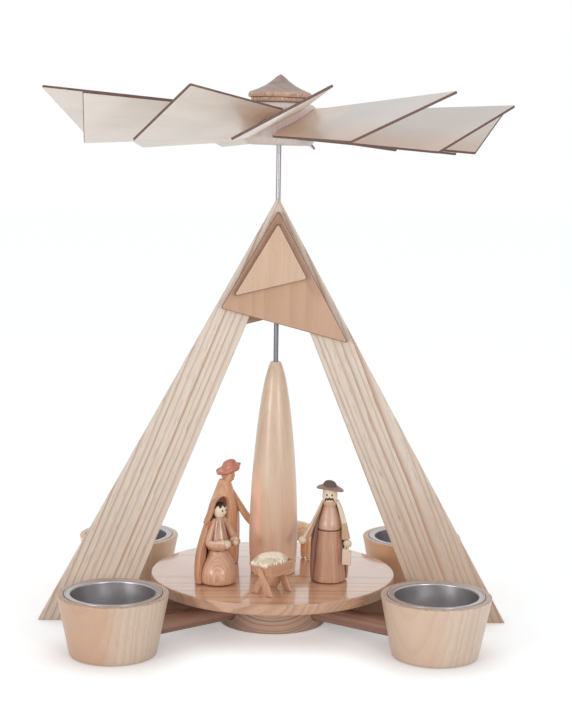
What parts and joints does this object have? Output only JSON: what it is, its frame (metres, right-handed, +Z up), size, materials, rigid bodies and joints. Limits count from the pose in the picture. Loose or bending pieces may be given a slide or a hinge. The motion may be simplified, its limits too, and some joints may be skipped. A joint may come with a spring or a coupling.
{
  "type": "candle carousel",
  "caption": "Wooden tea-light carousel: a slanted-vane wheel on a spindle turns a round table of small figures inside a tall A-frame.",
  "frame": {"origin": "on the ground under the spindle's axis, at the middle of the foot block's underside", "axes": "+Z up along the spindle, +X to the right leg along the plane of the A-frame, -Y to the viewer and the front plate"},
  "size_m": [0.2364, 0.2271, 0.2734],
  "materials": {
    "ash": "pale ring-porous ash, clear satin",
    "maple": "turned pale wood, clear satin",
    "alder": "warm brown alder, satin",
    "varnished_alder": "warm brown board, glossy varnish",
    "cherry": "reddish brown carved wood, satin",
    "birch_ply": "thin plywood, dark cut edges",
    "spindle_steel": "drawn steel rod",
    "insert_metal": "pressed sheet metal, satin",
    "bearing_brass": "turned brass",
    "cream_paint": "cream matt paint on wood",
    "dark_paint": "dark brown stain on wood",
    "red_stain": "red stain on wood",
    "wool_paint": "carved curls, tan stain"
  },
  "bodies": {
    "base": {"base_disc": "alder", "foot_rail_left": "ash", "foot_rail_right": "ash", "arm_front_left": "alder", "arm_front_right": "alder", "arm_rear_left": "alder", "arm_rear_right": "alder", "cup_front_left": "maple", "cup_front_right": "maple", "cup_rear_left": "maple", "cup_rear_right": "maple", "insert_front_left": "insert_metal", "insert_front_right": "insert_metal", "insert_rear_left": "insert_metal", "insert_rear_right": "insert_metal", "leg_left": "ash", "leg_right": "ash", "front_plate": "alder", "front_panel": "maple", "rear_plate": "alder", "rear_panel": "maple", "spindle_bush": "bearing_brass", "thrust_bearing": "bearing_brass"},
    "rotor": {"spindle": "spindle_steel", "turntable": "varnished_alder", "column": "maple", "mary_skirt": "alder", "mary_bodice": "maple", "mary_arms": "maple", "mary_head": "cream_paint", "mary_cloak": "cherry", "joseph_robe": "alder", "joseph_jacket": "maple", "joseph_head": "cream_paint", "joseph_hat": "dark_paint", "joseph_arm_left": "maple", "joseph_arm_right": "maple", "joseph_cloak": "cherry", "joseph_bag": "cream_paint", "shepherd_robe": "cherry", "shepherd_head": "cream_paint", "shepherd_hat": "red_stain", "shepherd_arm": "alder", "sheep": "wool_paint", "manger_crib": "alder", "manger_straw": "cream_paint"},
    "wheel": {"vane_hub": "maple", "hub_cap": "maple", "vane_01": "birch_ply", "vane_02": "birch_ply", "vane_03": "birch_ply", "vane_04": "birch_ply", "vane_05": "birch_ply", "vane_06": "birch_ply", "vane_07": "birch_ply", "vane_08": "birch_ply", "vane_09": "birch_ply", "vane_10": "birch_ply", "vane_11": "birch_ply", "vane_12": "birch_ply"}
  },
  "joints": [
    {"name": "rotor_spin", "type": "hinge", "parent": "base", "child": "rotor", "pos_m": [0, 0, 0.0138], "axis": [0, 0, 1], "continuous": true},
    {"name": "wheel_lift", "type": "slide", "parent": "rotor", "child": "wheel", "axis": [0, 0, 1], "range_m": [0, 0.02]}
  ]
}
